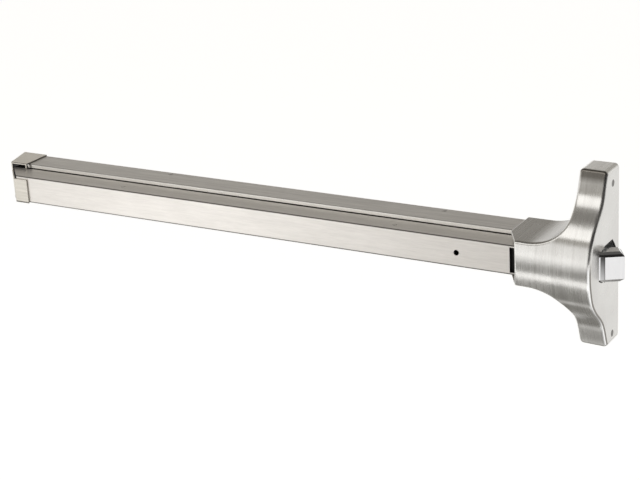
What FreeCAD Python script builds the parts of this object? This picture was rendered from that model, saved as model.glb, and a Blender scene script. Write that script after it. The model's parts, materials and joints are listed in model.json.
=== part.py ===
import FreeCAD, Part
import math
import os

os.makedirs("parts", exist_ok=True)
V = FreeCAD.Vector

# Rim exit device for the push side of a door, sizes in mm.
# The door plane is y = 0 and the room is at -y; z is up and +x points to the latch edge.
# The origin is the centre of the head's four-screw pattern.

# Clearances and fits
CLEAR = 0.3
SEAT = 0.1
RUN = 0.05
HELD = 0.02
SLOT_GAP = 0.27
SLOT_END = 0.35
SCREW_EASE = 0.15
PAST = 1.0

# Head cover: outline seen from the room
WALL_R = 16.0
WALL_L = -17.0
HEAD_TOP = 101.5
COLLAR_TOP = 26.3
OUTLINE_R = 5.0
COVER_T = 2.4
FRONT_R = 4.0
# depth of the cover's front at heights above and below its middle
FRONT_Z = [0.0, 12.0, 24.0, 34.0, 44.0, 54.0, 63.0, 74.0, 87.0, 101.5, 114.0]
FRONT_D = [85.0, 84.0, 81.2, 77.9, 71.6, 62.3, 52.6, 44.2, 38.6, 32.6, 29.0]
# how much the front steps back from the latch wall towards the bar
FRONT_X = [30.0, 16.0, -5.0, -28.0, -51.0, -75.0, -100.0, -130.0]
FRONT_BACK = [-0.6, 0.0, 1.2, 2.8, 4.2, 5.2, 5.5, 5.6]
# concave shoulder between wing and collar: a quarter ellipse in (x, z)
SHOULDER_A = 44.0
SHOULDER_B = 29.0
SHOULDER_X = WALL_L - SHOULDER_A
SHOULDER_Z = COLLAR_TOP + SHOULDER_B
# plan of the collar's open end: straight from the door, then slanted to the front
COLLAR_L = -91.5
COLLAR_KNEE_Y = -46.0
COLLAR_KNEE_R = 12.0
COLLAR_NOSE = (-66.0, -90.0)
COLLAR_END_R = 2.2
# the cover is shaped from a block this deep, reaching this far past the collar
COVER_DEEP = 1.5 * FRONT_D[0]
COVER_FAR = COLLAR_L - 2.0 * WALL_R
# half outline of the latch opening in the side wall, (y, z)
OPENING = [(-58.6, 0.0), (-58.6, 14.2), (-50.5, 18.6), (-43.8, 19.0), (-42.6, 21.0),
           (-18.6, 21.0), (-11.0, 13.0), (-6.0, 5.8), (PAST, 5.5), (PAST, 0.0)]

# Small countersunk screws of the cover and the cap
SCREW_R = 2.0
SCREW_HEAD_R = 3.9
SCREW_LAND = 0.5
SCREW_SLOT_W = 0.8
SCREW_SLOT_DEEP = 1.0
COVER_SCREW_LONG = 9.0
COVER_SCREW_Y = -17.8
COVER_SCREW_Z = [84.5, -90.0]

# Head chassis
CH_T = 2.5
CHEEK_Z = 20.0
CHEEK_L = -48.0
CHEEK_R = 12.0
CHEEK_FRONT = -74.0
CHEEK_SLOPE_Y = -50.0
CHEEK_SLOPE_X = -30.0
CHEEK_CHAMFER = (4.0, 6.0)
GUARD_Z = 18.2
GUARD_Y0 = -54.0
GUARD_Y1 = -14.0
JOG_L = -49.5
TONGUE_L = -82.0
TONGUE_Z = 18.0
EAR_DEEP = 27.0
EAR_HALF = 8.5
HEAD_HOLE_X = 8.0
HEAD_HOLE_Z = 72.0
HEAD_HOLE_R = 3.2

# Latch bolt: swings on a vertical pin, drawn along u from the pivot and v towards the door
PIVOT = (-9.15, -60.4)
LATCH_ANGLE = 31.0
LATCH_SWING = 38.0
LATCH_U = 50.4
LATCH_FRONT = -10.0
LATCH_BACK = 10.5
LATCH_ROOT_BACK = 8.0
LATCH_ROOT_U = 24.0
LATCH_FLAT_Z = 12.8
LATCH_TOP_Z = 17.2
LATCH_CH_FRONT = 5.0
LATCH_CH_BACK = 2.6
LATCH_CH_TIP = 4.3
SCOOP_R = 9.0
SCOOP_U = 24.4
SCOOP_V = 8.3
HUB_R = 9.5
HUB_Z = 19.6
PIVOT_R = 4.0
PIVOT_HEAD_R = 5.5
STOP_R = 3.0
STOP_HEAD_R = 4.2
STOP_U = 11.0
PIN_HEAD_T = 1.1
PIN_TAIL_T = 0.8
TAIL_PIN_R = 2.0
TAIL_EAR_R = 4.6
TAIL_EAR_LOW = -4.0

# Travel and linkage
PAD_TRAVEL = 13.0
CRANK_HALF = 19.0
CRANK_Y = -17.0
ROD_ARM = 22.2
STROKE = 2.0 * ROD_ARM * math.sin(math.radians(CRANK_HALF))
TAIL_R = STROKE / (2.0 * math.sin(math.radians(LATCH_SWING / 2.0)))
PAD_ARM = PAD_TRAVEL / (2.0 * math.tan(math.radians(CRANK_HALF)))
STATIONS = {"near": -174.0, "far": -555.0}

# Bar's left end and what is placed from it
BAR_L = -811.8
RAIL_SHORT = 14.8
RAIL_L = BAR_L + RAIL_SHORT
END_HOLE_IN = 12.0
END_HOLE_X = RAIL_L + END_HOLE_IN
CAP_LONG = 36.9
CAP_R = BAR_L + CAP_LONG

# Rail: C-shaped channel
RAIL_Z = 23.2
RAIL_Y = -37.1
RAIL_T = 2.0
RAIL_LIP_Z = 18.3
RAIL_R = -50.0
RAIL_BEND = 1.2
LIP_START = CAP_R - 2.0

# Screws and pegs that join rail, chassis and head guide
RAIL_SCREW_X = -76.0
RAIL_SCREW_Z = 12.0
RAIL_SCREW_R = 2.45
RAIL_SCREW_HEAD_R = 4.35
RAIL_SCREW_END = -7.0
BASE_HOLE_R = 2.5

# Rivets
RIVET_R = 2.0
RIVET_SET = 0.03
RAIL_RIVET_DX = -17.7
RAIL_RIVET_Y = -6.6
RAIL_RIVET_HEAD_R = 3.1
RIVET_CROWN = 0.6
RIVET_TAIL_T = 0.8
RIVET_TAIL_R = 2.5
BASE_RIVET_HEAD_R = 3.3
BASE_RIVET_DX = [-17.0, 10.0]
BRACKET_T = 2.0

# Crank brackets, drawn from their station
CRANK_BASE_L = 27.0
CRANK_BASE_R = 13.0
CRANK_EAR_HALF = 8.0
CRANK_EAR_Z = 12.3
CRANK_EAR_TOP = -25.0
CRANK_SIDE_R = 9.0
CRANK_SIDE_TOP = -10.0
CRANK_PIN_HEAD_R = 5.2
CRANK_PIN_HEAD_T = 0.9

# Bell cranks
CRANK_HUB_R = 7.0
CRANK_HUB_Z = 12.0
PAD_ARM_HALF = 5.4
ROD_ARM_HALF = 5.0
ARM_Z = 5.0
LINK_R = 2.5
ROD_PIN_HEAD_R = 4.0
ROD_PIN_HEAD_T = 1.2
CLIP_T = 0.8
CLIP_WIDE = 1.8
CLIP_GAP_HALF = 0.9
PIN_ABOVE_ROD = 2.6

# Draw rod
ROD_Y = -38.8
ROD_W = 10.0
ROD_Z0 = 8.0
ROD_Z1 = 11.0
ROD_CORNER = 3.0
ROD_PAST_CRANK = 9.0
ROD_PAST_TAIL = 4.7
NECK_W = 6.0
NECK_R = -262.0
NECK_L = -352.0
CATCH_R = 2.0
CATCH_DROP = 3.5
CATCH_STEM_R = 1.5
CATCH_HEAD_R = 2.4
CATCH_HEAD_T = 0.8

# Guides of the rod
GUIDE_HEAD_X = -62.0
GUIDE_FAR_X = -470.0
GUIDE_LONG = 10.0
GUIDE_WALL = 3.5
GUIDE_LOW = 4.0
GUIDE_TOP = 15.0
GUIDE_FOOT_T = 4.0
GUIDE_FOOT_LOW = -14.0
GUIDE_HOLE_Z = 8.0
PEG_R = 2.45
PEG_LONG = 2.2
RIVET_WELL_R = 3.0
FAR_FOOT_T = 3.0

# Return spring and its anchor
ANCHOR_X = -320.0
ANCHOR_FOOT = 16.0
ANCHOR_WALL_T = 2.5
ANCHOR_TOP = -46.5
ANCHOR_Z = 15.0
ANCHOR_LOW = -14.0
ANCHOR_WALL_LOW = -2.0
ANCHOR_GUSSET = (-30.0, -10.0)
ANCHOR_HOLE_DX = -8.5
SPRING_WIRE = 0.75
SPRING_R = 4.6
SPRING_TURNS = 10

# Touch pad
PAD_Y = -68.0
PAD_Z = 17.3
PAD_T = 1.6
PAD_BACK = -28.0
PAD_BEND = 1.6
PAD_FACE_R = -83.3
PAD_FLANGE_R = -60.0
PAD_END_SHORT = 40.2
PAD_END_FACE = BAR_L + PAD_END_SHORT
PAD_OVERHANG = 0.5
PAD_HEEL = (RAIL_L - PAD_OVERHANG, -40.9)
PAD_EDGE_Z = 2.6
PAD_EDGE_DEEP = 5.0

# Pad brackets, drawn from their crank station
LUG_L = 62.0
LUG_LONG = 12.0
LUG_R = LUG_L - LUG_LONG
LUG_TO_WEB_END = 6.0
LUG_TO_CHEEK_END = 4.0
PAD_WEB_L = LUG_L + LUG_TO_WEB_END
PAD_WEB_R = 10.0
PAD_CHEEK_R = LUG_R - LUG_TO_CHEEK_END
PAD_CHEEK_BACK = -46.0
PAD_WEB_GAP = 0.4
LUG_Y = -33.8
LUG_Z = 20.4
LUG_SLOT_Z0 = 15.0
LUG_SLOT_Z1 = 19.0
LINK_EAR_L = 25.2
LINK_EAR_R = 13.4
LINK_EAR_R0 = 5.0
LINK_EAR_Z = 5.4
PAD_RIVET_IN = 5.5
PAD_RIVET_DX = PAD_RIVET_IN - LUG_L
PAD_RIVET_Y = -54.8
PAD_RIVET_R = 1.6
PAD_RIVET_HEAD_R = 2.6
PAD_RIVET_CROWN = 0.5
PAD_RIVET_TAIL_R = 2.3
PAD_RIVET_TAIL_T = 0.7
BUMPER_Z = 17.9

# Pad guides between the rail's side and the pad
PAD_GUIDE_HALF = 14.2
PAD_GUIDE_BACK = -22.0

# Plug in the pad's open end
PLUG_INSIDE = 18.0
PLUG_FRONT_STEP = 4.0
PLUG_BACK = -57.0
PLUG_SHORT = 9.5
PLUG_WALL = 2.0
PLUG_SKIN = 4.5

# Dogging
DOG_X = -147.7
DOG_Z = -0.5
DOG_HOLE_R = 3.25
DOG_SHAFT_R = 3.0
DOG_SHAFT_END = -4.6
DOG_HEAD_R = 5.4
DOG_HEAD_Y = -51.3
DOG_HEAD_T = 5.0
DOG_HEX = 4.0
DOG_HEX_DEEP = 3.1
CAM_R = 6.9
CAM_HALF = 4.0
CAM_T = 3.0
DOG_BRACKET_HALF = 12.5
DOG_BRACKET_Z0 = -10.0
DOG_BRACKET_Z1 = 4.0
DOG_BRACKET_FRONT = -46.0
DOG_RIVET_Z = -6.5

# End cap
CAP_Z = 24.7
CAP_Y = -42.0
CAP_T = 1.5
CAP_SLOPE = 11.5
CAP_BEND = 0.9
CAP_MOUTH_Z = 22.8
CAP_POST_W = 2.4
CAP_POST_Z = 18.0
CAP_SIDE_POST = 1.65
BAND_KNEE_LONG = 37.3
BAND_FRONT = -69.8
BAND_KNEE = (BAR_L + BAND_KNEE_LONG, BAND_FRONT)
BAND_FLAP = 20.3
BAND_R = BAND_KNEE[0] + BAND_FLAP
BAND_LOW = -17.8
BAND_TOP = 13.6
END_HOLE_Z = 11.0
END_HOLE_R = 2.8
END_BRACKET_R = CAP_R + 8.9
END_BRACKET_TOP = -28.0
CAP_SCREW_Y = -20.0
CAP_SCREW_END = -18.4
CAP_SCREW_HEAD_T = 1.4
CAP_SCREW_EDGE = 0.8
CAP_SLOT_DEEP = 0.8


# Shapes used by the sub-parts
def box(x0, x1, y0, y1, z0, z1):
    lo = V(min(x0, x1), min(y0, y1), min(z0, z1))
    return Part.makeBox(abs(x1 - x0), abs(y1 - y0), abs(z1 - z0), lo)


def rod_x(r, x0, x1, y, z):
    return Part.makeCylinder(r, x1 - x0, V(x0, y, z), V(1, 0, 0))


def rod_y(r, x, y0, y1, z):
    return Part.makeCylinder(r, y1 - y0, V(x, y0, z), V(0, 1, 0))


def rod_z(r, x, y, z0, z1):
    return Part.makeCylinder(r, abs(z1 - z0), V(x, y, min(z0, z1)), V(0, 0, 1))


def cone_x(r0, r1, x0, x1, y, z):
    return Part.makeCone(r0, r1, x1 - x0, V(x0, y, z), V(1, 0, 0))


def cone_y(r0, r1, x, y0, y1, z):
    return Part.makeCone(r0, r1, y1 - y0, V(x, y0, z), V(0, 1, 0))


def ring_of(points):
    return Part.Face(Part.makePolygon(points + [points[0]]))


# Prism from a plan in (x, y)
def plan(points, z0, z1):
    return ring_of([V(x, y, z0) for x, y in points]).extrude(V(0, 0, z1 - z0))


# Prism from a section in (y, z)
def side(points, x0, x1):
    return ring_of([V(x0, y, z) for y, z in points]).extrude(V(x1 - x0, 0, 0))


# A half section in z >= 0 with its mirror image below
def mirror_z(points):
    lower = [(a, -b) for a, b in reversed(points) if b > 0]
    return points + lower


# Round-ended slot along y through z0 to z1, from the pin's first place to its last
def slot_y(x, y0, y1, r, z0, z1):
    straight = box(x - r, x + r, y0, y1, z0, z1)
    return straight.fuse([rod_z(r, x, y0, z0, z1), rod_z(r, x, y1, z0, z1)])


def solid(shape):
    clean = shape.removeSplitter()
    return clean.Solids[0] if len(clean.Solids) == 1 else clean


def save(name, shapes):
    items = shapes if isinstance(shapes, list) else [shapes]
    out = items[0] if len(items) == 1 else Part.makeCompound(items)
    out.exportStep("parts/" + name + ".step")


# Head cover: the curved front cut to the outline, rounded, then hollowed
def front_body(inset):
    rows = []
    for x, back in zip(FRONT_X, FRONT_BACK):
        zs = [-z for z in reversed(FRONT_Z[1:])] + FRONT_Z
        ds = list(reversed(FRONT_D[1:])) + FRONT_D
        rows.append([V(x, -(d - back - inset), z) for z, d in zip(zs, ds)])
    surface = Part.BSplineSurface()
    surface.interpolate(rows)
    return surface.toShape().extrude(V(0, COVER_DEEP, 0))


def shoulder(inset, sign):
    centre = V(SHOULDER_X, 0, sign * SHOULDER_Z)
    along = centre + V(SHOULDER_A + inset, 0, 0)
    across = centre - V(0, 0, sign * (SHOULDER_B + inset))
    return Part.ArcOfEllipse(Part.Ellipse(along, across, centre), 0.0, math.pi / 2).toShape()


def corner(cx, cz, r, sx, sz):
    k = r * math.sqrt(0.5)
    ends = [V(cx + sx * r, 0, cz), V(cx + sx * k, 0, cz + sz * k), V(cx, 0, cz + sz * r)]
    return Part.Arc(*ends).toShape()


def outline_prism(inset, y0, y1):
    right = WALL_R - inset
    left = WALL_L + inset
    top = HEAD_TOP - inset
    collar = COLLAR_TOP - inset
    r = OUTLINE_R - inset
    edges = []

    def line(x0, z0, x1, z1):
        edges.append(Part.makeLine(V(x0, 0, z0), V(x1, 0, z1)))

    line(right, -top + r, right, top - r)
    line(COVER_FAR, collar, COVER_FAR, -collar)
    for s in (1, -1):
        edges.append(corner(right - r, s * (top - r), r, 1, s))
        line(right - r, s * top, left + r, s * top)
        edges.append(corner(left + r, s * (top - r), r, -1, s))
        line(left, s * (top - r), left, s * SHOULDER_Z)
        edges.append(shoulder(inset, s))
        line(SHOULDER_X, s * collar, COVER_FAR, s * collar)
    face = Part.Face(Part.Wire(Part.__sortEdges__(edges)))
    face.translate(V(0, y0, 0))
    return face.extrude(V(0, y1 - y0, 0))


# Everything left of the collar's open end
def beyond_collar():
    far = COVER_FAR - PAST
    knee = (COLLAR_L, COLLAR_KNEE_Y)
    deep = COLLAR_NOSE[1] - PAST
    points = [(far, PAST), (COLLAR_L, PAST), knee, COLLAR_NOSE, (COLLAR_NOSE[0], deep), (far, deep)]
    tool = plan(points, -SHOULDER_Z, SHOULDER_Z)
    at_knee = [e for e in tool.Edges if e.CenterOfMass.distanceToPoint(V(knee[0], knee[1], 0)) < SEAT]
    return tool.makeFillet(COLLAR_KNEE_R, at_knee)


def front_edges(shape):
    picked = []
    for edge in shape.Edges:
        ahead = edge.BoundBox.YMax < COVER_SCREW_Y
        mid = edge.valueAt((edge.FirstParameter + edge.LastParameter) / 2.0)
        if ahead and mid.x > COVER_FAR + PAST:
            picked.append(edge)
    return picked


def collar_end_edges(shape, tool):
    picked = []
    for edge in shape.Edges:
        length = edge.LastParameter - edge.FirstParameter
        points = [edge.valueAt(edge.FirstParameter + length * k) for k in (0.1, 0.5, 0.9)]
        on_end = all(tool.distToShape(Part.Vertex(p))[0] < 0.001 for p in points)
        if on_end and points[1].y < -PAST:
            picked.append(edge)
    return picked


def cover_screw_cut(z):
    hole = rod_x(SCREW_R + SCREW_EASE, WALL_R - COVER_T - PAST, WALL_R + PAST, COVER_SCREW_Y, z)
    land = WALL_R - COVER_T + SCREW_LAND
    return hole.fuse(cone_x(SCREW_R + SEAT, SCREW_HEAD_R + SEAT, land, WALL_R, COVER_SCREW_Y, z))


def head_cover():
    outer = outline_prism(0.0, -COVER_DEEP, 0.0).common(front_body(0.0))
    outer = outer.makeFillet(FRONT_R, front_edges(outer))
    tool = beyond_collar()
    outer = outer.cut(tool)
    outer = outer.makeFillet(COLLAR_END_R, collar_end_edges(outer, tool))
    inner = outline_prism(COVER_T, -COVER_DEEP, PAST).common(front_body(COVER_T))
    opening = side(mirror_z(OPENING), WALL_R - COVER_T - PAST, WALL_R + PAST)
    return solid(outer.cut([inner, opening] + [cover_screw_cut(z) for z in COVER_SCREW_Z]))


def cover_screw(z):
    under = WALL_R - COVER_T + SCREW_LAND
    head = cone_x(SCREW_R, SCREW_HEAD_R, under, WALL_R, COVER_SCREW_Y, z)
    shank = rod_x(SCREW_R, WALL_R - COVER_SCREW_LONG, under, COVER_SCREW_Y, z)
    half = SCREW_SLOT_W / 2.0
    reach = SCREW_HEAD_R + PAST
    slot = box(WALL_R - SCREW_SLOT_DEEP, WALL_R + PAST, COVER_SCREW_Y - half, COVER_SCREW_Y + half,
               z - reach, z + reach)
    return solid(head.fuse(shank).cut(slot))


# Head chassis: base plate, two cheeks for the latch, ears for the cover screws, tongue in the rail
def cheek_plan():
    dx, dy = CHEEK_CHAMFER
    return [(CHEEK_L, -CH_T), (CHEEK_R, -CH_T), (CHEEK_R, CHEEK_FRONT + dy), (CHEEK_R - dx, CHEEK_FRONT),
            (CHEEK_SLOPE_X, CHEEK_FRONT), (CHEEK_L, CHEEK_SLOPE_Y)]


def head_chassis():
    inside = COVER_T + CLEAR
    right = WALL_R - inside
    left = WALL_L + inside
    top = HEAD_TOP - inside
    out_z = CHEEK_Z + CH_T
    base = box(left, right, -CH_T, 0, -top, top).common(outline_prism(inside, -CH_T - PAST, PAST))
    jog_y = -RAIL_T - CLEAR
    jog_r = JOG_L + CH_T
    ear_x = WALL_R - COVER_T
    parts = [
        box(JOG_L, left, -CH_T, 0, -out_z, out_z),
        box(JOG_L, jog_r, jog_y - CH_T, 0, -TONGUE_Z, TONGUE_Z),
        box(TONGUE_L, jog_r, jog_y - CH_T, jog_y, -TONGUE_Z, TONGUE_Z),
    ]
    for s in (1, -1):
        parts.append(plan(cheek_plan(), s * CHEEK_Z, s * out_z))
        parts.append(box(CHEEK_R - CH_T, CHEEK_R, GUARD_Y0, GUARD_Y1, s * GUARD_Z, s * out_z))
    for z in COVER_SCREW_Z:
        ear_top = top if z > 0 else z + EAR_HALF
        parts.append(box(ear_x - CH_T, ear_x, -EAR_DEEP, 0.0, z - EAR_HALF, ear_top))
    body = base.fuse(parts).common(outline_prism(COVER_T, -COVER_DEEP, PAST))
    deep = jog_y - CH_T - PAST
    cuts = [rod_x(SCREW_R + RUN, ear_x - CH_T - PAST, ear_x + PAST, COVER_SCREW_Y, z) for z in COVER_SCREW_Z]
    for s in (1, -1):
        for x in (-HEAD_HOLE_X, HEAD_HOLE_X):
            cuts.append(rod_y(HEAD_HOLE_R, x, -CH_T - PAST, PAST, s * HEAD_HOLE_Z))
        cuts.append(rod_y(BASE_HOLE_R, RAIL_SCREW_X, deep, PAST, s * RAIL_SCREW_Z))
        cuts.append(rod_y(BASE_HOLE_R, GUIDE_HEAD_X, deep, PAST, s * GUIDE_HOLE_Z))
    for (x, y), r in ((PIVOT, PIVOT_R), (stop_pos(), STOP_R)):
        cuts.append(rod_z(r, x, y, -out_z - PAST, out_z + PAST))
    return solid(body.cut(cuts))


# Latch bolt: section swept along u, nose chamfered, hub and tail ear added
def latch_place(u, v):
    a = math.radians(LATCH_ANGLE)
    return (PIVOT[0] + u * math.cos(a) - v * math.sin(a), PIVOT[1] + u * math.sin(a) + v * math.cos(a))


def stop_pos():
    return latch_place(STOP_U, LATCH_FRONT - STOP_R - SEAT)


def tail_angle():
    return math.radians(90.0 - LATCH_SWING / 2.0)


def tail_pos():
    return (PIVOT[0] + TAIL_R * math.cos(tail_angle()), PIVOT[1] + TAIL_R * math.sin(tail_angle()))


def nose_cut(sign):
    far = LATCH_U + PAST
    high = LATCH_TOP_Z + PAST
    back = LATCH_U - LATCH_CH_TIP
    points = [(LATCH_U, LATCH_FLAT_Z), (far, LATCH_FLAT_Z), (far, high), (back, high), (back, LATCH_TOP_Z)]
    deep = 2.0 * HUB_R
    face = ring_of([V(u, -deep, sign * z) for u, z in points])
    return face.extrude(V(0, 2.0 * deep, 0))


def latch_bar(back, u0, u1):
    f = LATCH_FRONT
    half = [(f, 0.0), (f, LATCH_FLAT_Z), (f + LATCH_CH_FRONT, LATCH_TOP_Z),
            (back - LATCH_CH_BACK, LATCH_TOP_Z), (back, LATCH_FLAT_Z), (back, 0.0)]
    return side(mirror_z(half), u0, u1)


def latch_bolt():
    nose = latch_bar(LATCH_ROOT_BACK, 0.0, LATCH_ROOT_U).fuse(latch_bar(LATCH_BACK, LATCH_ROOT_U, LATCH_U))
    high = LATCH_TOP_Z + PAST
    scoop = rod_z(SCOOP_R, LATCH_U - SCOOP_U, LATCH_FRONT - SCOOP_V, -high, high)
    a = tail_angle() - math.radians(LATCH_ANGLE)
    tail_u = TAIL_R * math.cos(a)
    tail_v = TAIL_R * math.sin(a)
    top = ROD_Z0 - CLEAR
    ear = rod_z(TAIL_EAR_R, tail_u, tail_v, TAIL_EAR_LOW, top)
    web = box(tail_u - TAIL_EAR_R, tail_u + TAIL_EAR_R, 0.0, tail_v, TAIL_EAR_LOW, top)
    hub = rod_z(HUB_R, 0, 0, -HUB_Z, HUB_Z)
    body = nose.cut([scoop, nose_cut(1), nose_cut(-1)]).fuse([hub, ear, web])
    bores = [rod_z(PIVOT_R + RUN, 0, 0, -HUB_Z - PAST, HUB_Z + PAST),
             rod_z(TAIL_PIN_R, tail_u, tail_v, TAIL_EAR_LOW - PAST, top + PAST)]
    body = body.cut(bores)
    body.rotate(V(0, 0, 0), V(0, 0, 1), LATCH_ANGLE)
    body.translate(V(PIVOT[0], PIVOT[1], 0))
    return solid(body)


def latch_tail_pin():
    x, y = tail_pos()
    return rod_z(TAIL_PIN_R, x, y, TAIL_EAR_LOW, ROD_Z1 + PIN_ABOVE_ROD)


# Pin across the cheeks, headed on top and upset below
def cheek_pin(place, r, head_r):
    x, y = place
    edge = CHEEK_Z + CH_T
    foot = -edge - PIN_TAIL_T
    head = rod_z(head_r, x, y, edge, edge + PIN_HEAD_T)
    tail = rod_z(head_r - PIN_TAIL_T, x, y, foot, -edge)
    return solid(rod_z(r - HELD / 2.0, x, y, foot, edge).fuse([head, tail]))


# Open ring that holds a pin above the rod
def clip(place, r):
    x, y = place
    z0 = ROD_Z1 + CLEAR
    ring = rod_z(r + CLIP_WIDE, x, y, z0, z0 + CLIP_T).cut(rod_z(r, x, y, z0 - PAST, z0 + CLIP_T + PAST))
    reach = r + CLIP_WIDE + PAST
    gap = box(x - CLIP_GAP_HALF, x + CLIP_GAP_HALF, y, y + reach, z0 - PAST, z0 + CLIP_T + PAST)
    return solid(ring.cut(gap))


# Rail: C-shaped channel with two lips that face each other across the pad
def rail_channel():
    t = RAIL_T
    half = [(0.0, 0.0), (0.0, RAIL_Z), (RAIL_Y, RAIL_Z), (RAIL_Y, RAIL_LIP_Z), (RAIL_Y + t, RAIL_LIP_Z),
            (RAIL_Y + t, RAIL_Z - t), (-t, RAIL_Z - t), (-t, 0.0)]
    body = side(mirror_z(half), RAIL_L, RAIL_R)
    long = 0.9 * (RAIL_R - RAIL_L)
    bends = [e for e in body.Edges if e.Length > long and abs(abs(e.CenterOfMass.z) - RAIL_Z) < 0.01]
    body = body.makeFillet(RAIL_BEND, bends)
    high = RAIL_Z + PAST
    inner = RAIL_Z - t
    cuts = []
    for s in (1, -1):
        lip = s * (RAIL_LIP_Z - PAST)
        cuts.append(box(RAIL_L - PAST, LIP_START, RAIL_Y - PAST, RAIL_Y + t, lip, s * inner))
        cuts.append(rod_y(BASE_HOLE_R, RAIL_SCREW_X, -t - PAST, PAST, s * RAIL_SCREW_Z))
        cuts.append(cone_y(BASE_HOLE_R, RAIL_SCREW_HEAD_R + 2.0 * SEAT, RAIL_SCREW_X, -t, 0.0,
                           s * RAIL_SCREW_Z))
        cuts.append(rod_y(END_HOLE_R, END_HOLE_X, -t - PAST, PAST, s * END_HOLE_Z))
        for station in STATIONS.values():
            cuts.append(rod_z(RIVET_R, station + RAIL_RIVET_DX, RAIL_RIVET_Y, s * (inner - PAST), s * high))
    for x, z in base_rivet_places():
        cuts.append(cone_y(RIVET_R, BASE_RIVET_HEAD_R + SEAT, x, -t, 0.0, z))
    cuts.append(rod_z(SCREW_R + RUN, END_HOLE_X, CAP_SCREW_Y, -high, -inner + PAST))
    return solid(body.cut(cuts))


def base_rivet_places():
    places = [(DOG_X, DOG_RIVET_Z)]
    for x in (ANCHOR_X + ANCHOR_HOLE_DX, GUIDE_FAR_X):
        places += [(x, GUIDE_HOLE_Z), (x, -GUIDE_HOLE_Z)]
    for station in STATIONS.values():
        places += [(station + dx, 0.0) for dx in BASE_RIVET_DX]
    return places


def rail_screw(z):
    head = cone_y(RAIL_SCREW_R, RAIL_SCREW_HEAD_R, RAIL_SCREW_X, -RAIL_T, -SEAT, z)
    shank = rod_y(RAIL_SCREW_R, RAIL_SCREW_X, RAIL_SCREW_END, -RAIL_T, z)
    reach = RAIL_SCREW_HEAD_R + PAST
    half = SCREW_SLOT_W / 2.0
    slot = box(RAIL_SCREW_X - reach, RAIL_SCREW_X + reach, -SCREW_SLOT_DEEP, PAST, z - half, z + half)
    return solid(head.fuse(shank).cut(slot))


# Rivet through two sheets along z: crowned head outside, upset tail inside
def side_rivet(x, y, sign, r, outer, grip, head_r, crown, tail_r, tail_t):
    inner = outer - grip
    ball = (head_r ** 2 + crown ** 2) / (2.0 * crown)
    centre = V(x, y, sign * (outer + crown - ball))
    dome = Part.makeSphere(ball, centre).common(rod_z(head_r, x, y, sign * outer, sign * (outer + crown)))
    shank = rod_z(r, x, y, sign * outer, sign * inner)
    tail = rod_z(tail_r, x, y, sign * inner, sign * (inner - tail_t))
    return solid(shank.fuse([dome, tail]))


def rail_rivet(station, sign):
    return side_rivet(station + RAIL_RIVET_DX, RAIL_RIVET_Y, sign, RIVET_R - HELD, RAIL_Z, RAIL_T + BRACKET_T,
                      RAIL_RIVET_HEAD_R, RIVET_CROWN, RIVET_TAIL_R, RIVET_TAIL_T)


def base_rivet(x, z):
    grip = FAR_FOOT_T if x == GUIDE_FAR_X else BRACKET_T
    top = -RAIL_T - grip
    head = cone_y(RIVET_R - RIVET_SET, BASE_RIVET_HEAD_R, x, -RAIL_T, -SEAT, z)
    shank = rod_y(RIVET_R - RIVET_SET, x, top, -RAIL_T, z)
    tail = rod_y(BASE_RIVET_HEAD_R - 2.0 * CLEAR, x, top - RIVET_TAIL_T, top, z)
    return solid(head.fuse([shank, tail]))


# Crank bracket: base on the rail, two ears for the crank pin, two sides riveted to the rail
def crank_bracket(s):
    t = BRACKET_T
    y = -RAIL_T
    inner = RAIL_Z - RAIL_T
    parts = []
    for sign in (1, -1):
        parts.append(box(s - CRANK_EAR_HALF, s + CRANK_EAR_HALF, CRANK_EAR_TOP, y,
                         sign * CRANK_EAR_Z, sign * (CRANK_EAR_Z + t)))
        parts.append(box(s - CRANK_BASE_L, s - CRANK_SIDE_R, CRANK_SIDE_TOP, y,
                         sign * (inner - t), sign * inner))
    body = box(s - CRANK_BASE_L, s + CRANK_BASE_R, y - t, y, -inner, inner).fuse(parts)
    cuts = [rod_z(PIVOT_R, s, CRANK_Y, -inner, inner),
            rod_z(RIVET_R, s + RAIL_RIVET_DX, RAIL_RIVET_Y, -inner - PAST, inner + PAST)]
    cuts += [rod_y(RIVET_R, s + dx, y - t - PAST, PAST, 0) for dx in BASE_RIVET_DX]
    return solid(body.cut(cuts))


def crank_pivot_pin(s):
    edge = CRANK_EAR_Z + BRACKET_T
    heads = [rod_z(CRANK_PIN_HEAD_R, s, CRANK_Y, sign * edge, sign * (edge + CRANK_PIN_HEAD_T))
             for sign in (1, -1)]
    return solid(rod_z(PIVOT_R - HELD, s, CRANK_Y, -edge, edge).fuse(heads))


# Bell crank, drawn with its pad arm along -x and its rod arm along -y, then turned to rest
def bell_crank(s):
    top = ROD_Z0 - CLEAR
    stretch = 1.0 / math.cos(math.radians(CRANK_HALF))
    reach = PAD_ARM * 0.5 * (stretch + 1.0)
    half = PAD_ARM * 0.5 * (stretch - 1.0) + CLEAR
    rod_end = CRANK_Y - ROD_ARM
    body = rod_z(CRANK_HUB_R, s, CRANK_Y, -CRANK_HUB_Z, CRANK_HUB_Z).fuse([
        box(s - reach, s, CRANK_Y - PAD_ARM_HALF, CRANK_Y + PAD_ARM_HALF, -ARM_Z, ARM_Z),
        rod_z(PAD_ARM_HALF, s - reach, CRANK_Y, -ARM_Z, ARM_Z),
        box(s - ROD_ARM_HALF, s + ROD_ARM_HALF, rod_end, CRANK_Y, -ARM_Z, top),
        rod_z(ROD_ARM_HALF, s, rod_end, -ARM_Z, top),
    ])
    w = LINK_R + SLOT_GAP
    high = CRANK_HUB_Z + PAST
    slot = box(s - reach - half, s - reach + half, CRANK_Y - w, CRANK_Y + w, -high, high)
    ends = [rod_z(w, s - reach + k * half, CRANK_Y, -high, high) for k in (-1, 1)]
    bores = [rod_z(PIVOT_R + RUN, s, CRANK_Y, -high, high), rod_z(LINK_R, s, rod_end, -high, high)]
    body = solid(body.cut([slot] + ends + bores))
    body.rotate(V(s, CRANK_Y, 0), V(0, 0, 1), CRANK_HALF)
    return body


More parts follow.
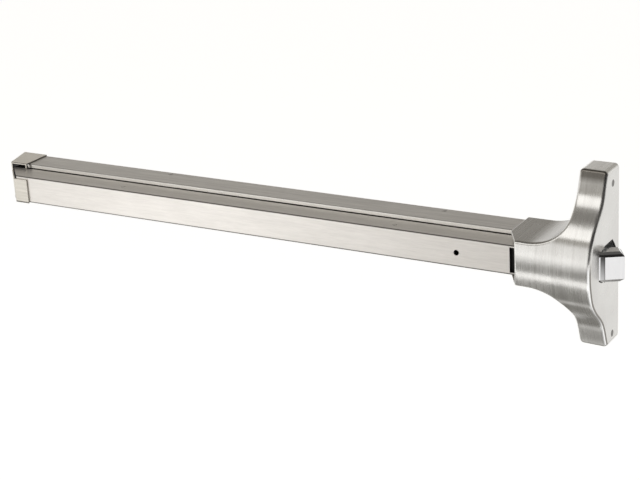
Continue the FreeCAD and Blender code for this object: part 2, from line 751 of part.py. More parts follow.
def rod_pin_pos(s):
    a = math.radians(CRANK_HALF)
    return (s + ROD_ARM * math.sin(a), CRANK_Y - ROD_ARM * math.cos(a))


def rod_pin(s):
    x, y = rod_pin_pos(s)
    head = rod_z(ROD_PIN_HEAD_R, x, y, -ARM_Z - ROD_PIN_HEAD_T, -ARM_Z)
    return solid(rod_z(LINK_R, x, y, -ARM_Z, ROD_Z1 + PIN_ABOVE_ROD).fuse(head))


# Draw rod: flat bar that carries the cranks' stroke to the latch
def draw_rod():
    tail_x, tail_y = tail_pos()
    x0 = rod_pin_pos(STATIONS["far"])[0] - ROD_PAST_CRANK
    x1 = tail_x + ROD_PAST_TAIL
    y0 = ROD_Y - ROD_W / 2.0
    y1 = ROD_Y + ROD_W / 2.0
    low = ROD_Z0 - PAST
    high = ROD_Z1 + PAST
    body = box(x0, x1, y0, y1, ROD_Z0, ROD_Z1)
    corners = [e for e in body.Edges if abs(e.Length - (ROD_Z1 - ROD_Z0)) < 0.01]
    body = body.makeFillet(ROD_CORNER, corners)
    inset = (ROD_W - NECK_W) / 2.0
    cuts = [box(NECK_L, NECK_R, y0 - PAST, y0 + inset, low, high),
            box(NECK_L, NECK_R, y1 - inset, y1 + PAST, low, high),
            rod_z(CATCH_STEM_R, catch_x(), ROD_Y, low, high)]
    for s in STATIONS.values():
        x, y = rod_pin_pos(s)
        cuts.append(slot_y(x, CRANK_Y - ROD_ARM - SLOT_END + SLOT_GAP, y + SLOT_END - SLOT_GAP,
                           LINK_R + SLOT_GAP, low, high))
    cuts.append(slot_y(tail_x, tail_y - SLOT_END + SLOT_GAP, PIVOT[1] + TAIL_R + SLOT_END - SLOT_GAP,
                       TAIL_PIN_R + SLOT_GAP, low, high))
    return solid(body.cut(cuts))


# The catch pin passes the dogging screw halfway through the stroke
def catch_x():
    return DOG_X + STROKE / 2.0


def catch_pin():
    x = catch_x()
    stem = rod_z(CATCH_STEM_R - HELD, x, ROD_Y, ROD_Z0, ROD_Z1)
    head = rod_z(CATCH_HEAD_R, x, ROD_Y, ROD_Z1, ROD_Z1 + CATCH_HEAD_T)
    return solid(rod_z(CATCH_R, x, ROD_Y, ROD_Z0 - CATCH_DROP, ROD_Z0).fuse([stem, head]))


# Moulded guide: foot on the rail's base, gusset, and a window round the rod
def guide_block(x, foot_y):
    x0 = x - GUIDE_LONG / 2.0
    x1 = x + GUIDE_LONG / 2.0
    half = ROD_W / 2.0
    front = ROD_Y - half - GUIDE_WALL
    inner = foot_y - GUIDE_FOOT_T
    body = box(x0, x1, front, foot_y, GUIDE_LOW, GUIDE_TOP)
    foot = box(x0, x1, inner, foot_y, GUIDE_FOOT_LOW, GUIDE_TOP)
    web = side([(inner, GUIDE_FOOT_LOW), (inner, GUIDE_LOW + CLEAR), (ROD_Y, GUIDE_LOW + CLEAR)], x0, x1)
    window = box(x0 - PAST, x1 + PAST, ROD_Y - half - CLEAR, ROD_Y + half + CLEAR,
                 ROD_Z0 - CLEAR, ROD_Z1 + CLEAR)
    return body.fuse([foot, web]).cut(window)


def rod_guide_head():
    foot_y = -RAIL_T - CLEAR - CH_T
    pegs = [rod_y(PEG_R, GUIDE_HEAD_X, foot_y, foot_y + PEG_LONG, z) for z in (-GUIDE_HOLE_Z, GUIDE_HOLE_Z)]
    return solid(guide_block(GUIDE_HEAD_X, foot_y).fuse(pegs))


def rod_guide_far():
    well = -RAIL_T - FAR_FOOT_T
    front = ROD_Y - ROD_W
    cuts = []
    for z in (-GUIDE_HOLE_Z, GUIDE_HOLE_Z):
        cuts.append(rod_y(RIVET_R, GUIDE_FAR_X, well - PAST, PAST, z))
        cuts.append(rod_y(RIVET_WELL_R, GUIDE_FAR_X, front if z > 0 else ROD_Y, well, z))
    return solid(guide_block(GUIDE_FAR_X, -RAIL_T).cut(cuts))


# Steel anchor for the return spring: foot on the rail and a standing wall with a window
def spring_anchor():
    y = -RAIL_T
    wall_l = ANCHOR_X - ANCHOR_WALL_T
    foot = box(ANCHOR_X - ANCHOR_FOOT, ANCHOR_X, y - BRACKET_T, y, ANCHOR_LOW, ANCHOR_Z)
    wall = box(wall_l, ANCHOR_X, ANCHOR_TOP, y, ANCHOR_WALL_LOW, ANCHOR_Z)
    gusset = side([(y, ANCHOR_LOW), (y, ANCHOR_WALL_LOW), (ANCHOR_GUSSET[0], ANCHOR_WALL_LOW),
                   (ANCHOR_GUSSET[1], ANCHOR_LOW)], wall_l, ANCHOR_X)
    half = NECK_W / 2.0 + CLEAR
    window = box(wall_l - PAST, ANCHOR_X + PAST, ROD_Y - half, ROD_Y + half, ROD_Z0 - CLEAR, ROD_Z1 + CLEAR)
    holes = [rod_y(RIVET_R, ANCHOR_X + ANCHOR_HOLE_DX, y - BRACKET_T - PAST, PAST, z)
             for z in (-GUIDE_HOLE_Z, GUIDE_HOLE_Z)]
    return solid(foot.fuse([wall, gusset]).cut([window] + holes))


def return_spring():
    z = (ROD_Z0 + ROD_Z1) / 2.0
    length = NECK_R - ANCHOR_X - 2.0 * (SPRING_WIRE + SEAT)
    helix = Part.makeHelix(length / SPRING_TURNS, length, SPRING_R)
    profile = Part.Wire(Part.makeCircle(SPRING_WIRE, V(SPRING_R, 0, 0), V(0, 1, 0)))
    coil = Part.Wire(helix).makePipeShell([profile], True, True)
    coil.rotate(V(0, 0, 0), V(0, 1, 0), 90)
    coil.translate(V(ANCHOR_X + SPRING_WIRE + SEAT, ROD_Y, z))
    return coil


# Touch pad: U-channel, face towards the room, flanges running in under the rail's lips
def touch_pad():
    t = PAD_T
    half = [(PAD_Y, 0.0), (PAD_Y, PAD_Z), (PAD_BACK, PAD_Z), (PAD_BACK, PAD_Z - t), (PAD_Y + t, PAD_Z - t),
            (PAD_Y + t, 0.0)]
    body = side(mirror_z(half), RAIL_L - PAST, PAD_FLANGE_R)
    long = 0.9 * (PAD_FLANGE_R - RAIL_L)
    outer = [e for e in body.Edges if e.Length > long and abs(e.CenterOfMass.y - PAD_Y) < 0.01]
    body = body.makeFillet(PAD_BEND, outer)
    slope = (PAD_END_FACE - PAD_HEEL[0]) / (PAD_HEEL[1] - PAD_Y)
    front = PAD_Y - PAST
    far = RAIL_L - 2.0 * PAST
    mitre = [(PAD_END_FACE + slope * PAST, front), PAD_HEEL, (PAD_HEEL[0], 0.0),
             (far, 0.0), (far, front)]
    high = PAD_Z + PAST
    cuts = [plan(mitre, -high, high),
            box(PAD_FACE_R, PAD_FLANGE_R + PAST, front, PAD_Y + PAD_EDGE_DEEP,
                -PAD_Z + PAD_EDGE_Z, PAD_Z - PAD_EDGE_Z),
            rod_y(DOG_HOLE_R, DOG_X, front, PAD_Y + t + PAST, DOG_Z)]
    for s in STATIONS.values():
        for sign in (1, -1):
            cuts.append(rod_z(PAD_RIVET_R, s + PAD_RIVET_DX, PAD_RIVET_Y,
                              sign * (PAD_Z - t - PAST), sign * high))
            cuts.append(box(s - LUG_L - CLEAR, s - LUG_R + CLEAR, LUG_Y - 2.0 * CLEAR, 0,
                            sign * LUG_SLOT_Z0, sign * LUG_SLOT_Z1))
    return solid(body.cut(cuts))


# Pad bracket: web behind the face, riveted cheeks with stop lugs, and two ears for the crank's pin
def pad_bracket(s):
    t = BRACKET_T
    y0 = PAD_Y + PAD_T
    wall_o = PAD_Z - PAD_T
    wall_i = wall_o - t
    pin_x = s - PAD_ARM
    pin_y = CRANK_Y - PAD_TRAVEL / 2.0
    ear_o = LINK_EAR_Z + t
    body = box(s - PAD_WEB_L, s - PAD_WEB_R, y0, y0 + t, -wall_o + PAD_WEB_GAP, wall_o - PAD_WEB_GAP)
    parts = []
    for sign in (1, -1):
        parts.append(box(s - PAD_WEB_L, s - PAD_CHEEK_R, y0, PAD_CHEEK_BACK, sign * wall_i, sign * wall_o))
        parts.append(box(s - LUG_L, s - LUG_R, PAD_CHEEK_BACK, LUG_Y, sign * wall_i, sign * wall_o))
        parts.append(box(s - LUG_L, s - LUG_R, LUG_Y, LUG_Y + t, sign * wall_i, sign * LUG_Z))
        parts.append(box(s - LINK_EAR_L, s - LINK_EAR_R, y0, pin_y, sign * LINK_EAR_Z, sign * ear_o))
        parts.append(rod_z(LINK_EAR_R0, pin_x, pin_y, sign * LINK_EAR_Z, sign * ear_o))
    cuts = [rod_z(LINK_R, pin_x, pin_y, -ear_o - PAST, ear_o + PAST),
            rod_z(PAD_RIVET_R, s + PAD_RIVET_DX, PAD_RIVET_Y, -PAD_Z, PAD_Z)]
    return solid(body.fuse(parts).cut(cuts))


def pad_rivet(s, sign):
    return side_rivet(s + PAD_RIVET_DX, PAD_RIVET_Y, sign, PAD_RIVET_R - HELD, PAD_Z, PAD_T + BRACKET_T,
                      PAD_RIVET_HEAD_R, PAD_RIVET_CROWN, PAD_RIVET_TAIL_R, PAD_RIVET_TAIL_T)


def pad_link_pin(s):
    half = LINK_EAR_Z + BRACKET_T + PAD_RIVET_CROWN
    return rod_z(LINK_R - HELD, s - PAD_ARM, CRANK_Y - PAD_TRAVEL / 2.0, -half, half)


def pad_bumper(s, sign):
    return box(s - LUG_L, s - LUG_R, RAIL_Y + RAIL_T + SEAT, LUG_Y, sign * BUMPER_Z, sign * LUG_Z)


# Guide strip: body behind the rail's lip and a tongue that fills the gap beside the pad
def pad_guide(s, sign):
    z0 = PAD_Z + CLEAR
    lip = RAIL_Y + RAIL_T
    x0 = s - PAD_GUIDE_HALF
    x1 = s + PAD_GUIDE_HALF
    body = box(x0, x1, lip, PAD_GUIDE_BACK, sign * z0, sign * (RAIL_Z - RAIL_T))
    return solid(body.fuse(box(x0, x1, RAIL_Y, lip, sign * z0, sign * RAIL_LIP_Z)))


def pad_end_plug():
    z = PAD_Z - PAD_T - RUN
    y0 = PAD_Y + PAD_T + RUN
    step_x = PAD_FACE_R - SEAT
    left = PAD_FACE_R - PLUG_INSIDE
    right = PAD_FLANGE_R - PLUG_SHORT
    w = PLUG_WALL
    back = box(left, step_x, y0, PLUG_BACK, -z, z)
    front = box(step_x, right, PAD_Y + PLUG_FRONT_STEP, PLUG_BACK, -z, z)
    pocket = box(left + w, right - w, y0 + PLUG_SKIN, PLUG_BACK + PAST, -z + w, z - w)
    return solid(back.fuse(front).cut(pocket))


# Dogging: a hex-socket screw turns a cam into the path of the rod's catch pin
def dogging_screw():
    under = DOG_HEAD_Y + DOG_HEAD_T
    corner_r = DOG_HEX / math.sqrt(3.0)
    points = []
    for i in range(6):
        a = math.radians(60.0 * i)
        points.append(V(DOG_X + corner_r * math.cos(a), DOG_HEAD_Y - PAST, DOG_Z + corner_r * math.sin(a)))
    socket = ring_of(points).extrude(V(0, DOG_HEX_DEEP + PAST, 0))
    shaft = rod_y(DOG_SHAFT_R, DOG_X, under, DOG_SHAFT_END, DOG_Z)
    return solid(shaft.fuse(rod_y(DOG_HEAD_R, DOG_X, DOG_HEAD_Y, under, DOG_Z)).cut(socket))


def dogging_cam():
    y0 = ROD_Y - CAM_T / 2.0
    y1 = ROD_Y + CAM_T / 2.0
    disc = rod_y(CAM_R, DOG_X, y0, y1, DOG_Z)
    keep = box(DOG_X, DOG_X + CAM_R + PAST, y0, y1, DOG_Z - CAM_HALF, DOG_Z + CAM_HALF)
    body = disc.common(keep).fuse(rod_y(CAM_HALF, DOG_X, y0, y1, DOG_Z))
    return solid(body.cut(rod_y(DOG_SHAFT_R, DOG_X, y0 - PAST, y1 + PAST, DOG_Z)))


def dogging_bracket():
    t = BRACKET_T
    x0 = DOG_X - DOG_BRACKET_HALF
    x1 = DOG_X + DOG_BRACKET_HALF
    y = -RAIL_T
    front = DOG_BRACKET_FRONT
    z0 = DOG_BRACKET_Z0
    z1 = DOG_BRACKET_Z1
    legs = [box(x0, x0 + t, front, y, z0, z1), box(x1 - t, x1, front, y, z0, z1)]
    body = box(x0, x1, y - t, y, z0, z1).fuse(legs + [box(x0, x1, front, front + t, z0, z1)])
    holes = [rod_y(DOG_SHAFT_R + RUN, DOG_X, front - PAST, front + t + PAST, DOG_Z),
             rod_y(RIVET_R, DOG_X, y - t - PAST, PAST, DOG_RIVET_Z)]
    return solid(body.cut(holes))


# End cap: housing over the rail's end, open to the pad, with a band that wraps the pad's mitred end
def end_cap():
    t = CAP_T
    lean = CAP_SLOPE / -CAP_Y
    inset = t * math.sqrt(1.0 + lean * lean)
    knee = (BAR_L + CAP_SLOPE, CAP_Y)
    open_x = CAP_R + PAST
    house = plan([(BAR_L, 0.0), knee, (CAP_R, CAP_Y), (CAP_R, 0.0)], -CAP_Z, CAP_Z)
    bends = [e for e in house.Edges
             if abs(abs(e.CenterOfMass.z) - CAP_Z) < 0.01 and abs(e.CenterOfMass.y - CAP_Y) < 0.01]
    house = house.makeFillet(CAP_BEND, bends)
    back = CAP_Y + t
    hollow = plan([(BAR_L + inset - lean * PAST, PAST), (BAR_L - lean * back + inset, back), (open_x, back),
                   (open_x, PAST)], -CAP_Z + t, CAP_Z - t)
    side_post = knee[0] + CAP_SIDE_POST
    mouth = box(side_post, CAP_R - CAP_POST_W, CAP_Y - PAST, back + PAST, -CAP_MOUTH_Z, CAP_MOUTH_Z)
    door = box(side_post, open_x, CAP_Y - PAST, back + PAST, -CAP_POST_Z, CAP_POST_Z)
    screw = rod_z(SCREW_R + SEAT, END_HOLE_X, CAP_SCREW_Y, -CAP_Z - PAST, -CAP_Z + t + PAST)
    return solid(house.cut([hollow, mouth, door]).fuse(cap_band(knee)).cut(screw))


# Band of the same sheet, laid on the pad's mitre and bent round to its face
def cap_band(knee):
    t = CAP_T
    run = (BAND_KNEE[0] - knee[0], knee[1] - BAND_KNEE[1])
    slant = math.hypot(*run)
    off = (t * run[1] / slant, t * run[0] / slant)
    turn = (slant - run[0]) / run[1]
    points = [knee, BAND_KNEE, (BAND_R, BAND_KNEE[1]), (BAND_R, BAND_KNEE[1] + t),
              (BAND_KNEE[0] + t * turn, BAND_KNEE[1] + t), (knee[0] + off[0], knee[1] + off[1]),
              (knee[0] + CAP_SIDE_POST, knee[1] + t), (knee[0], knee[1] + t)]
    return plan(points, BAND_LOW, BAND_TOP)


def end_bracket():
    t = BRACKET_T
    y = -RAIL_T
    inner = RAIL_Z - RAIL_T
    sides = [box(RAIL_L, END_BRACKET_R, END_BRACKET_TOP, y, s * (inner - t), s * inner) for s in (1, -1)]
    body = box(RAIL_L, END_BRACKET_R, y - t, y, -inner, inner).fuse(sides)
    cuts = [rod_y(END_HOLE_R, END_HOLE_X, y - t - PAST, PAST, z) for z in (-END_HOLE_Z, END_HOLE_Z)]
    cuts.append(rod_z(SCREW_R + RUN, END_HOLE_X, CAP_SCREW_Y, -inner - PAST, -inner + t + PAST))
    return solid(body.cut(cuts))


def end_cap_screw():
    foot = -CAP_Z - CAP_SCREW_HEAD_T
    shank = rod_z(SCREW_R, END_HOLE_X, CAP_SCREW_Y, -CAP_Z, CAP_SCREW_END)
    head = rod_z(SCREW_HEAD_R, END_HOLE_X, CAP_SCREW_Y, foot, -CAP_Z)
    head = head.makeFillet(CAP_SCREW_EDGE, [e for e in head.Edges if abs(e.BoundBox.ZMax - foot) < 0.01])
    reach = SCREW_HEAD_R + PAST
    half = SCREW_SLOT_W / 2.0
    slot = box(END_HOLE_X - reach, END_HOLE_X + reach, CAP_SCREW_Y - half, CAP_SCREW_Y + half,
               foot - PAST, foot + CAP_SLOT_DEEP)
    return solid(shank.fuse(head).cut(slot))


save("head_cover", head_cover())
save("cover_screws", [cover_screw(z) for z in COVER_SCREW_Z])
save("head_chassis", head_chassis())
save("latch_bolt", latch_bolt())
save("latch_pivot_pin", cheek_pin(PIVOT, PIVOT_R, PIVOT_HEAD_R))
save("latch_stop_pin", cheek_pin(stop_pos(), STOP_R, STOP_HEAD_R))
save("latch_tail_pin", latch_tail_pin())
save("latch_tail_clip", clip(tail_pos(), TAIL_PIN_R))
save("rail_channel", rail_channel())
save("rail_screws", [rail_screw(z) for z in (-RAIL_SCREW_Z, RAIL_SCREW_Z)])
for name, s in STATIONS.items():
    save("crank_bracket_" + name, crank_bracket(s))
    save("bell_crank_" + name, bell_crank(s))
    save("rod_pin_" + name, rod_pin(s))
    save("rod_clip_" + name, clip(rod_pin_pos(s), LINK_R))
    save("pad_bracket_" + name, pad_bracket(s))
save("crank_pivot_pins", [crank_pivot_pin(s) for s in STATIONS.values()])
save("bracket_rivets", [rail_rivet(s, sign) for s in STATIONS.values() for sign in (1, -1)])
save("base_rivets", [base_rivet(x, z) for x, z in base_rivet_places()])
save("draw_rod", draw_rod())
save("dogging_catch_pin", catch_pin())
save("rod_guide_head", rod_guide_head())
save("rod_guide_far", rod_guide_far())
save("spring_anchor", spring_anchor())
save("return_spring", return_spring())
save("touch_pad", touch_pad())
save("pad_rivets", [pad_rivet(s, sign) for s in STATIONS.values() for sign in (1, -1)])
save("pad_link_pins", [pad_link_pin(s) for s in STATIONS.values()])
save("pad_bumpers", [pad_bumper(s, sign) for s in STATIONS.values() for sign in (1, -1)])
save("pad_guides", [pad_guide(s, sign) for s in STATIONS.values() for sign in (1, -1)])
save("pad_end_plug", pad_end_plug())
save("dogging_screw", dogging_screw())
save("dogging_cam", dogging_cam())
save("dogging_bracket", dogging_bracket())
save("end_cap", end_cap())
save("end_bracket", end_bracket())
save("end_cap_screw", end_cap_screw())
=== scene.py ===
import json
import math

import bpy
import numpy as np
from mathutils import Matrix, Vector


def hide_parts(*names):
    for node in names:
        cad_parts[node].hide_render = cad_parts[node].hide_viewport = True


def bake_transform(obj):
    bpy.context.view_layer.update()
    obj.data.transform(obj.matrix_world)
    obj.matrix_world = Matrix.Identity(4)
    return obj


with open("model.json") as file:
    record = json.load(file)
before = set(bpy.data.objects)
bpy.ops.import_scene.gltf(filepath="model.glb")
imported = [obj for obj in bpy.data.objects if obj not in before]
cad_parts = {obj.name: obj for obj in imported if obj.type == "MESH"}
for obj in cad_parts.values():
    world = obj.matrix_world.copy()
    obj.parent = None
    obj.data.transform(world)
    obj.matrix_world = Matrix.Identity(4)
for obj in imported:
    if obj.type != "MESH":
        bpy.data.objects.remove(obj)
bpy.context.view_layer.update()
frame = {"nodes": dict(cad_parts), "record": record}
scene = bpy.context.scene
MM = 0.001

MATH, RANGE, MIX, SPLIT = ("ShaderNodeMath", "ShaderNodeMapRange", "ShaderNodeMix",
                           "ShaderNodeSeparateXYZ")
COLOUR_OUT = 2  # the Mix node's output for colours; its inputs for them are 6 and 7


def tone(code):
    """An sRGB hex colour as linear RGBA: c/12.92 below 0.04045, else ((c + 0.055)/1.055)^2.4."""
    c = np.array([int(code[i:i + 2], 16) for i in (1, 3, 5)]) / 255.0
    linear = np.where(c <= 0.04045, c / 12.92, ((c + 0.055) / 1.055) ** 2.4)
    return (*linear.tolist(), 1.0)


def add(tree, kind, inputs=(), out=None, **settings):
    """One node with its settings. Inputs come in order, or by name or index, and one that is another
    node's output is linked. Gives the output `out`, or the node where none is asked for."""
    made = tree.nodes.new(kind)
    for name, value in settings.items():
        setattr(made, name, value)
    for name, value in (inputs.items() if isinstance(inputs, dict) else enumerate(inputs)):
        if isinstance(value, bpy.types.NodeSocket):
            tree.links.new(value, made.inputs[name])
        else:
            made.inputs[name].default_value = value
    return made if out is None else made.outputs[out]


def blank(name):
    """A new material and its node tree, emptied."""
    made = bpy.data.materials.new(name)
    made.use_nodes = True
    made.node_tree.nodes.clear()
    return made, made.node_tree


def grain(tree, size_mm, detail, offset=(0.0, 0.0, 0.0)):
    """Noise from 0 to 1 whose cells are size_mm = (x, y, z) millimetres, on Object coordinates."""
    where = add(tree, "ShaderNodeTexCoord", out="Object")
    scale = tuple(1.0 / (s * MM) for s in size_mm)
    placed = add(tree, "ShaderNodeMapping", {"Vector": where, "Location": offset, "Scale": scale}, "Vector")
    return add(tree, "ShaderNodeTexNoise",
               {"Vector": placed, "Scale": 1.0, "Detail": detail, "Roughness": 0.6}, "Fac")


def normal_and_place(tree):
    """The x, y and z of the surface normal, and those of the place on Object coordinates."""
    normal = add(tree, "ShaderNodeNewGeometry", out="Normal")
    place = add(tree, "ShaderNodeTexCoord", out="Object")
    return [add(tree, SPLIT, (vector,)).outputs for vector in (normal, place)]


def strongest(tree, areas):
    """A mask from 0 to 1, the strongest of several areas. An area is a list of ramps that are
    multiplied. A ramp is a value, the two values between which it goes from 0 to 1, and, where it
    goes otherwise, what it starts and ends at."""
    mask = None
    for ramps in areas:
        area = None
        for ramp in ramps:
            step = add(tree, RANGE, ramp, 0)
            area = step if area is None else add(tree, MATH, (area, step), 0, operation="MULTIPLY")
        mask = area if mask is None else add(tree, MATH, (mask, area), 0, operation="MAXIMUM")
    return mask


# Painted light: the dark tones of painted shade on the bar, the cover and the bolt, and the white of a
# painted highlight on the cover
BAR_SHADE_TONE, COVER_SHADE_TONE, BOLT_SHADE_TONE, HIGHLIGHT_WHITE = (tone(c) for c in ("#3E3B38", "#564F45", "#3A3938", "#FFFFFF"))


def bar_shade(tree, covered, line, top, rims):
    """Where the bar's sheet takes painted shade, from 0 to 1, and where it faces forward. The painted shade
    lies on its bends, where the normal leans between y and z (to `line`), on its top face (to `top`), on
    the cut end of the cap's hood, where the normal runs along +x, and on the faces that another piece
    covers, with y above covered[0] and z within covered[1], in millimetres. Each of rims is an axis and the
    range over which a front face darkens towards its edge, a painted dark line."""
    lean, place = normal_and_place(tree)
    slope = add(tree, MATH, (lean["Y"], lean["Z"]), 0, operation="MULTIPLY")
    steep = add(tree, MATH, (slope,), 0, operation="ABSOLUTE")
    off_middle = add(tree, MATH, (place["Z"],), 0, operation="ABSOLUTE")
    front = (lean["Y"], -0.80, -0.95)
    # Painted shade: dark lines along the bends and front rims, and a dark top face, hood end and covered
    # faces
    bends = [(steep, 0.10, 0.40, 0.0, line)]
    top_face = [(lean["Z"], 0.80, 0.95, 0.0, top)]
    hood_end = [(lean["X"], 0.70, 0.90, 0.0, 0.75), (place["Z"], 14 * MM, 15 * MM)]
    hidden = [(place["Y"], (covered[0] - 0.6) * MM, covered[0] * MM), (lean["Y"], 0.9, 0.7),
              (off_middle, (covered[1] - 0.2) * MM, covered[1] * MM, 1.0, 0.0)]
    edges = [[front, (place[axis], start * MM, end * MM, 0.0, 0.75)] for axis, start, end in rims]
    return strongest(tree, [bends, top_face, hood_end, hidden, *edges]), strongest(tree, [[front]])


def cover_light_and_shade(tree, colour):
    """The cover's colour with painted light: painted shade on the collar's top and on the tight bends of
    the upper wing, and a painted white highlight on the lower right bend, with a thin painted dark line
    where it ends."""
    lean, place = normal_and_place(tree)
    slope = add(tree, MATH, (lean["Y"], lean["Z"]), 0, operation="MULTIPLY")
    low = (place["Z"], 16 * MM, 4 * MM)
    collar_top = [(lean["Z"], 0.55, 0.80, 0.0, 0.55), (place["Z"], 46 * MM, 34 * MM)]
    wing_bend = [(slope, -0.15, -0.40, 0.0, 0.85), (place["Z"], 88 * MM, 94 * MM)]
    right_bend = [low, (lean["X"], 0.06, 0.18), (lean["X"], 0.90, 0.80)]
    shade_line = [low, (lean["X"], 0.66, 0.78, 0.0, 0.8), (lean["X"], 0.99, 0.95)]
    # Painted highlight: the lower right bend is white
    bright = add(tree, MIX, {0: strongest(tree, [right_bend]), 6: colour, 7: HIGHLIGHT_WHITE}, COLOUR_OUT,
                 data_type="RGBA")
    # Painted shade on the collar's top, the upper wing's bends and a thin line by the lower right bend
    shade_mask = strongest(tree, [collar_top, wing_bend, shade_line])
    return add(tree, MIX, {0: shade_mask, 6: bright, 7: COVER_SHADE_TONE}, COLOUR_OUT, data_type="RGBA")


def bolt_shade(tree, colour):
    """The bolt's colour with painted shade on the lower part of its top bevel and on the strip beside the
    cover's opening, darker towards the strip's top."""
    lean, place = normal_and_place(tree)
    strip = [(place["X"], 21.4 * MM, 21.1 * MM), (lean["Y"], -0.7, -0.8),
             (place["Z"], -13 * MM, 11 * MM, 0.35, 0.95)]
    bevel = [(lean["Z"], 0.25, 0.45, 0.0, 0.85), (place["Z"], 15.2 * MM, 14.6 * MM)]
    return add(tree, MIX, {0: strongest(tree, [bevel, strip]), 6: colour, 7: BOLT_SHADE_TONE}, COLOUR_OUT,
               data_type="RGBA")


BUMP_DEEP = 0.1 * MM
BEVEL_RAYS = 4
LIP_GLOSS = 0.12  # how much smoother than the rest the rail's forward faces are
# Across the grain, for a grain that runs up the cover and for one that runs along the bar
ACROSS_COVER = (0.96, 0.28, 0.0)
ACROSS_BAR = (0.0, 0.7071, 0.7071)


def brushed_metal(name, light, dark, scratch_mm, across, rough, aniso, edge=0.35, relief=0.10,
                  covered=None, lip=None, line=0.45, top=0.0, rims=(), paint_light=None):
    """Sheet steel with an abrasive-belt grain: scratches of scratch_mm = (x, y, z) millimetres.
    They shift colour and gloss a little and lift the normal; the highlight spreads along `across`, at right
    angles to them, and cut edges catch the light over `edge` millimetres. For a sheet of the bar, covered,
    line, top and rims go to bar_shade, which together with the sharp edges gives the painted shade, and
    `lip` is a paler colour painted on its forward faces as a highlight; `paint_light` is a function that
    paints light and shade into the colour of another piece."""
    made, tree = blank(name)
    scratch = grain(tree, scratch_mm, 2.0)
    band = grain(tree, [s * 3.5 for s in scratch_mm], 2.0, (3.1, 7.7, 1.3))
    smudge = grain(tree, (38.0,) * 3, 2.0, (5.0, 2.0, 9.0))
    streak = add(tree, MATH, (add(tree, RANGE, (scratch, 0.30, 0.70, 0.0, 0.5), 0),
                              add(tree, RANGE, (band, 0.32, 0.68, 0.0, 0.5), 0)), 0, operation="ADD")
    colour = add(tree, MIX, {0: streak, 6: tone(dark), 7: tone(light)}, COLOUR_OUT, data_type="RGBA")
    gloss = add(tree, MATH, (add(tree, RANGE, (scratch, 0.3, 0.7, rough - 0.02, rough + 0.02), 0),
                             add(tree, RANGE, (smudge, 0.35, 0.65, -0.02, 0.02), 0)), 0, operation="ADD")
    rounded = add(tree, "ShaderNodeBevel", {"Radius": edge * MM}, "Normal", samples=BEVEL_RAYS)
    if covered:
        shaded_faces, forward = bar_shade(tree, covered, line, top, rims)
        true = add(tree, "ShaderNodeNewGeometry", out="Normal")
        sharp = add(tree, "ShaderNodeVectorMath", (rounded, true), "Value", operation="DOT_PRODUCT")
        # Painted shade along sharp edges, drawn as dark lines
        shaded_edges = add(tree, RANGE, (sharp, 0.99, 0.85, 0.0, line), 0)
        shade_mask = add(tree, MATH, (shaded_faces, shaded_edges), 0, operation="MAXIMUM")
        if lip:
            # Painted highlight: the forward faces take a paler colour
            colour = add(tree, MIX, {0: forward, 6: colour, 7: tone(lip)}, COLOUR_OUT, data_type="RGBA")
            smoother = add(tree, MATH, (forward, LIP_GLOSS), 0, operation="MULTIPLY")
            gloss = add(tree, MATH, (gloss, smoother), 0, operation="SUBTRACT")
        # Painted shade: the masked faces, bends and edges take a dark tone
        colour = add(tree, MIX, {0: shade_mask, 6: colour, 7: BAR_SHADE_TONE}, COLOUR_OUT, data_type="RGBA")
    if paint_light:
        colour = paint_light(tree, colour)
    lifted = add(tree, "ShaderNodeBump", {"Height": scratch, "Strength": relief, "Distance": BUMP_DEEP,
                                          "Normal": rounded}, "Normal")
    tangent = add(tree, "ShaderNodeVectorTransform", {"Vector": across}, "Vector",
                  vector_type="VECTOR", convert_from="OBJECT", convert_to="WORLD")
    skin = add(tree, "ShaderNodeBsdfPrincipled",
               {"Base Color": colour, "Metallic": 1.0, "Roughness": gloss, "Anisotropic": aniso,
                "Normal": lifted, "Tangent": tangent}, 0)
    add(tree, "ShaderNodeOutputMaterial", {"Surface": skin})
    return made


def turned_metal(name, light, dark, rough, cell_mm, relief=0.15):
    """Small hardware: turned, plated, cast or drawn metal with a fine even mottle and no direction."""
    made, tree = blank(name)
    mottle = grain(tree, (cell_mm,) * 3, 5.0)
    cloud = grain(tree, (11.0,) * 3, 2.0, (1.0, 4.0, 2.0))
    both = add(tree, MATH, (add(tree, RANGE, (mottle, 0.3, 0.7, 0.0, 0.5), 0),
                            add(tree, RANGE, (cloud, 0.35, 0.65, 0.0, 0.5), 0)), 0, operation="ADD")
    colour = add(tree, MIX, {0: both, 6: tone(dark), 7: tone(light)}, COLOUR_OUT, data_type="RGBA")
    gloss = add(tree, RANGE, (mottle, 0.3, 0.7, rough - 0.06, rough + 0.06), 0)
    rounded = add(tree, "ShaderNodeBevel", {"Radius": 0.2 * MM}, "Normal", samples=BEVEL_RAYS)
    lifted = add(tree, "ShaderNodeBump", {"Height": mottle, "Strength": relief, "Distance": BUMP_DEEP,
                                          "Normal": rounded}, "Normal")
    skin = add(tree, "ShaderNodeBsdfPrincipled",
               {"Base Color": colour, "Metallic": 1.0, "Roughness": gloss, "Normal": lifted}, 0)
    add(tree, "ShaderNodeOutputMaterial", {"Surface": skin})
    return made


